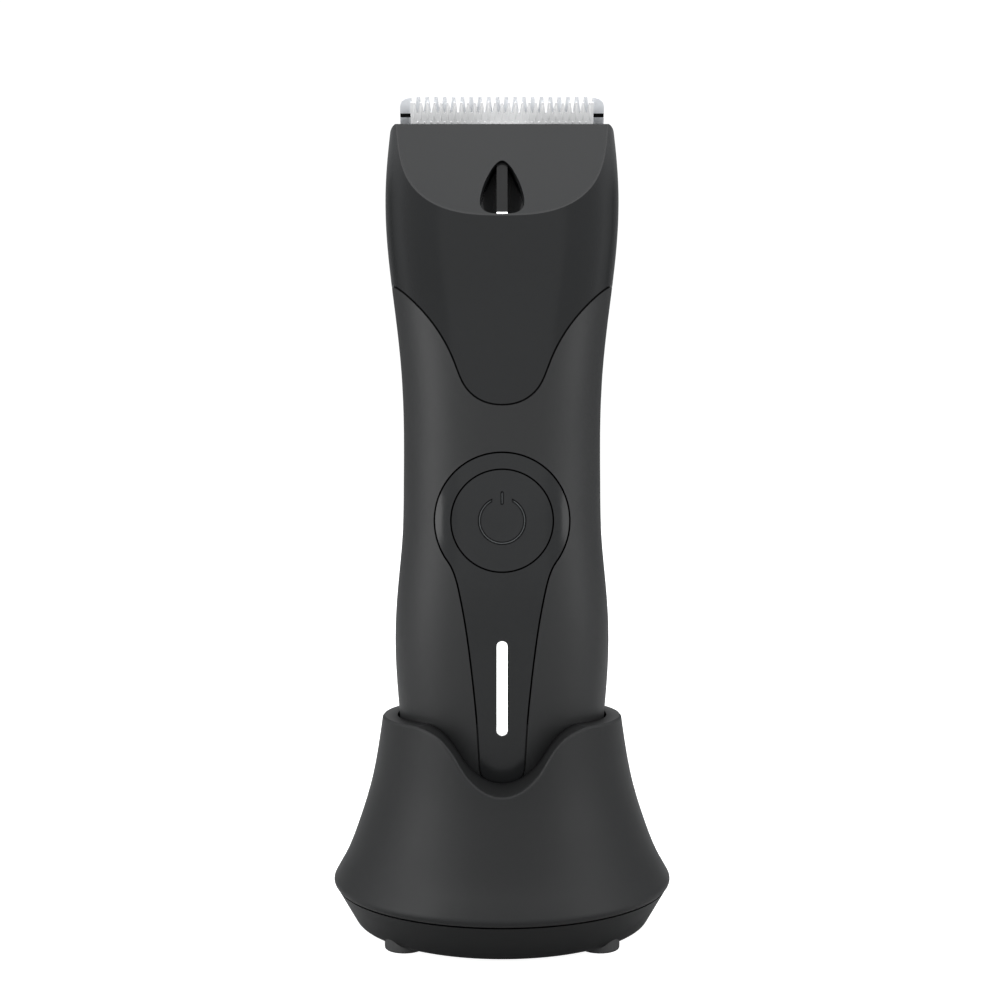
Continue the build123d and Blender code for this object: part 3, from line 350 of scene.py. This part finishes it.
# A row of small domes below the ribs.
build = bmesh.new()
for dome in range(RIDGES):
    across = (dome - (RIDGES - 1) / 2) * CUTTER_PITCH
    rings = []
    for radius, height in DOME_PROFILE:
        ring = []
        for step in range(DOME_SIDES):
            turn = 2 * math.pi * step / DOME_SIDES
            down = DOME_DOWN + radius * math.sin(turn)
            ring.append(on_blade(across + radius * math.cos(turn), down, CUTTER_FACE + height))
        rings.append(ring)
    add_rings(build, rings)
finish_mesh("cutter_domes", build, "cutter_ceramic", "cutter")

# Black strips in the two slots across the comb's outer lugs.
STRIP_TOP = 3.22
STRIP_FOOT = 3.93
STRIP_OUT = -0.06
STRIP_BED = -0.38
STRIP_ENDS = ((17.98, 0.06), (18.04, 0), (19.93, 0), (19.99, 0.06))  # across, bevel

build = bmesh.new()
for side in (-1, 1):
    rings = []
    for across, bevel in STRIP_ENDS:
        top, foot, outer = STRIP_TOP + bevel, STRIP_FOOT - bevel, STRIP_OUT - bevel
        corners = ((top, STRIP_BED), (top, outer), (foot, outer), (foot, STRIP_BED))
        rings.append([on_blade(side * across, down, out) for down, out in corners])
    add_rings(build, rings)
finish_mesh("lug_strips", build, "seal_rubber", "blade_unit", smooth=False)

# ---------------------------------------------------------------- power symbol
button_low, button_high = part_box("power_button")
button_centre = (button_low + button_high) / 2
button_skin = BVHTree.FromObject(nodes["power_button"], bpy.context.evaluated_depsgraph_get())
ICON_RADIUS = 4.16
ICON_HALF_LINE = 0.13
ICON_HALF_GAP = math.radians(27)
ICON_STEPS = 56
ICON_PROFILE = ((-1, -SUNK), (-0.7, 0.08), (0, 0.12), (0.7, 0.08), (1, -SUNK))  # side, lift
ICON_BAR = ((3.1, 0.4), (3.2, 1.0), (4.2, 1.0), (5.1, 1.0), (5.2, 0.4))  # up, share of the full line
ICON_END = 0.4  # share of the full line at an end of the ring


def on_button(across, up):
    """A point on the face of the button, from its centre, in millimetres."""
    start = Vector((button_centre.x + across * MM, button_low.y - 10 * MM, button_centre.z + up * MM))
    hit = button_skin.ray_cast(start, Vector((0, 1, 0)))[0]
    return Vector((start.x, hit.y, start.z))


def line_ring(spine, outward, share):
    """The symbol's line across at a point of its spine, at a share of its full size."""
    return [
        spine + outward * (ICON_HALF_LINE * share * side * MM) + Vector((0, -lift * share * MM, 0))
        for side, lift in ICON_PROFILE
    ]


build = bmesh.new()
rings = []
for step in range(ICON_STEPS + 1):
    turn = math.pi / 2 + ICON_HALF_GAP + (2 * math.pi - 2 * ICON_HALF_GAP) * step / ICON_STEPS
    outward = Vector((math.cos(turn), 0, math.sin(turn)))
    spine = on_button(ICON_RADIUS * outward.x, ICON_RADIUS * outward.z)
    rings.append(line_ring(spine, outward, ICON_END if step in (0, ICON_STEPS) else 1.0))
add_rings(build, rings)
add_rings(build, [line_ring(on_button(0, up), Vector((1, 0, 0)), share) for up, share in ICON_BAR])
symbol = finish_mesh("power_symbol", build, "face", "button")
symbol.data.materials[0] = plastic("symbol_line", srgb(82, COOL), 0.35, 4200, 0.000004, specular=0.3)

# ---------------------------------------------------------------- coil springs under the dock's contacts
WIRE_RADIUS = 0.19 * MM
COIL_TURNS = 4
COIL_STEPS = 24  # in a turn
WIRE_SIDES = 8

for side in ("left", "right"):
    low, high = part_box("contact_spring_" + side)
    axis = (low + high) / 2
    radius = (high.x - low.x) / 2 - WIRE_RADIUS
    rise = high.z - low.z - 2 * WIRE_RADIUS
    build = bmesh.new()
    rings = []
    for step in range(COIL_TURNS * COIL_STEPS + 1):
        turn = 2 * math.pi * step / COIL_STEPS
        outward = Vector((math.cos(turn), math.sin(turn), 0))
        share = step / (COIL_TURNS * COIL_STEPS)
        spine = Vector((axis.x, axis.y, low.z + WIRE_RADIUS + rise * share)) + outward * radius
        ring = []
        for corner in range(WIRE_SIDES):
            angle = 2 * math.pi * corner / WIRE_SIDES
            upward = Vector((0, 0, math.sin(angle)))
            ring.append(spine + (outward * math.cos(angle) + upward) * WIRE_RADIUS)
        rings.append(ring)
    add_rings(build, rings)
    coil = finish_mesh("contact_coil_" + side, build, "spring_steel", "dock")
    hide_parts("contact_spring_" + side)
    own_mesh(coil)

# ---------------------------------------------------------------- floor, light and camera
FLOOR_HALF = 4.0
FLOOR_GREY = 0.48
FLOOR_NEAR = 0.05  # from the middle
FLOOR_FAR = 0.6
FLOOR_GLOW = (0.95, 1.1)  # near and far

floor_mesh = bpy.data.meshes.new("floor")
build = bmesh.new()
bmesh.ops.create_grid(build, x_segments=8, y_segments=8, size=FLOOR_HALF)
build.to_mesh(floor_mesh)
build.free()
floor = bpy.data.objects.new("floor", floor_mesh)
bpy.context.collection.objects.link(floor)
floor.location.z = cad_low.z
floor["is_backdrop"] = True

floor_look, tree, shader, place = start_material("floor_paper")
shader.inputs["Base Color"].default_value = (FLOOR_GREY, FLOOR_GREY, FLOOR_GREY, 1)
shader.inputs["Roughness"].default_value = 0.7
shader.inputs["Specular IOR Level"].default_value = 0.1
shader.inputs["Emission Color"].default_value = (1, 1, 1, 1)
ray = tree.nodes.new("ShaderNodeLightPath")
distance = tree.nodes.new("ShaderNodeVectorMath")
distance.operation = "LENGTH"
tree.links.new(place.outputs["Object"], distance.inputs[0])
glow = tree.nodes.new("ShaderNodeMapRange")
glow.inputs["From Min"].default_value = FLOOR_NEAR
glow.inputs["From Max"].default_value = FLOOR_FAR
glow.inputs["To Min"].default_value = FLOOR_GLOW[0]
glow.inputs["To Max"].default_value = FLOOR_GLOW[1]
tree.links.new(distance.outputs["Value"], glow.inputs["Value"])
seen = tree.nodes.new("ShaderNodeMath")
seen.operation = "MULTIPLY"
tree.links.new(glow.outputs["Result"], seen.inputs[0])
tree.links.new(ray.outputs["Is Camera Ray"], seen.inputs[1])
tree.links.new(seen.outputs["Value"], shader.inputs["Emission Strength"])
floor.data.materials.append(floor_look)

# The room is white, with a dark card behind the object near the horizon.
SKY = 1.0
BACKDROP = 1.05
CARD = 0.8  # of the sky's light, held back by the card
CARD_EDGE = (0.1, 0.6)  # of the direction's +Y, from no card to all of it
CARD_RISE = (0.25, 0.6)  # of the direction's +Z, from all of the card to none

scene = bpy.context.scene
world = bpy.data.worlds.new("studio")
scene.world = world
world.use_nodes = True
tree = world.node_tree
tree.nodes.clear()
ray = tree.nodes.new("ShaderNodeLightPath")
seen_sky = tree.nodes.new("ShaderNodeBackground")
seen_sky.inputs["Color"].default_value = (1, 1, 1, 1)
seen_sky.inputs["Strength"].default_value = BACKDROP
lit_sky = tree.nodes.new("ShaderNodeBackground")
lit_sky.inputs["Color"].default_value = (0.96, 0.98, 1, 1)
direction = tree.nodes.new("ShaderNodeTexCoord")
compass = tree.nodes.new("ShaderNodeSeparateXYZ")
tree.links.new(direction.outputs["Generated"], compass.inputs["Vector"])
behind = tree.nodes.new("ShaderNodeMapRange")
behind.inputs["From Min"].default_value = CARD_EDGE[0]
behind.inputs["From Max"].default_value = CARD_EDGE[1]
tree.links.new(compass.outputs["Y"], behind.inputs["Value"])
level = tree.nodes.new("ShaderNodeMapRange")
level.inputs["From Min"].default_value = CARD_RISE[0]
level.inputs["From Max"].default_value = CARD_RISE[1]
level.inputs["To Min"].default_value = CARD
level.inputs["To Max"].default_value = 0.0
tree.links.new(compass.outputs["Z"], level.inputs["Value"])
card = tree.nodes.new("ShaderNodeMath")
card.operation = "MULTIPLY"
tree.links.new(behind.outputs["Result"], card.inputs[0])
tree.links.new(level.outputs["Result"], card.inputs[1])
open_sky = tree.nodes.new("ShaderNodeMath")
open_sky.operation = "SUBTRACT"
open_sky.inputs[0].default_value = SKY
tree.links.new(card.outputs["Value"], open_sky.inputs[1])
tree.links.new(open_sky.outputs["Value"], lit_sky.inputs["Strength"])
mix = tree.nodes.new("ShaderNodeMixShader")
output = tree.nodes.new("ShaderNodeOutputWorld")
tree.links.new(ray.outputs["Is Camera Ray"], mix.inputs["Fac"])
tree.links.new(lit_sky.outputs["Background"], mix.inputs[1])
tree.links.new(seen_sky.outputs["Background"], mix.inputs[2])
tree.links.new(mix.outputs["Shader"], output.inputs["Surface"])


def softbox(name, position, target, width, height, power):
    """A rectangular studio light that faces a point."""
    data = bpy.data.lights.new(name, "AREA")
    data.shape = "RECTANGLE"
    data.size = width
    data.size_y = height
    data.energy = power
    light = bpy.data.objects.new(name, data)
    bpy.context.collection.objects.link(light)
    light.location = position
    light.rotation_euler = (Vector(target) - Vector(position)).to_track_quat("-Z", "Y").to_euler()
    return light


middle = (cad_low + cad_high) / 2


def place_box(name, around, rise, away, width, height, radiance, skipped=None):
    """Stands a softbox around the object, in degrees and metres; one CAD node can be left unlit by it."""
    turn = math.radians(around)
    lift = math.radians(rise)
    level = Vector((math.sin(turn), -math.cos(turn), 0)) * math.cos(lift)
    position = middle + away * (level + Vector((0, 0, math.sin(lift))))
    light = softbox(name, position, middle, width, height, radiance * math.pi * width * height)
    light.visible_camera = False
    if skipped:
        lit = bpy.data.collections.new(name + "_receivers")
        light.light_linking.receiver_collection = lit
        for thing in bpy.data.objects:
            if thing.type == "MESH" and thing is not nodes[skipped]:
                lit.objects.link(thing)


# Name, degrees from the front, degrees up, metres away, width, height and radiance.
place_box("front_box", 0, 3, 1.0, 1.3, 1.0, 0.26)
place_box("left_box", -66, 24, 0.9, 0.45, 1.1, 3.9, skipped="head_shell")
place_box("right_box", 66, 24, 0.9, 0.45, 1.1, 2.4, skipped="head_shell")
place_box("top_box", 0, 70, 0.9, 0.9, 0.6, 1.9)
place_box("back_box", 180, 48, 0.9, 0.9, 0.6, 1.6)

CAMERA_PLACE = (-0.39 * MM, -270.9 * MM, 81.6 * MM)

camera_data = bpy.data.cameras.new("camera")
camera_data.lens = 50
camera_data.sensor_width = 36
camera_data.clip_start = 0.01
camera_data.clip_end = 50
camera = bpy.data.objects.new("camera", camera_data)
bpy.context.collection.objects.link(camera)
camera.location = CAMERA_PLACE
camera.rotation_euler = (math.pi / 2, 0, 0)
scene.camera = camera
scene.view_settings.view_transform = "Standard"

low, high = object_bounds()
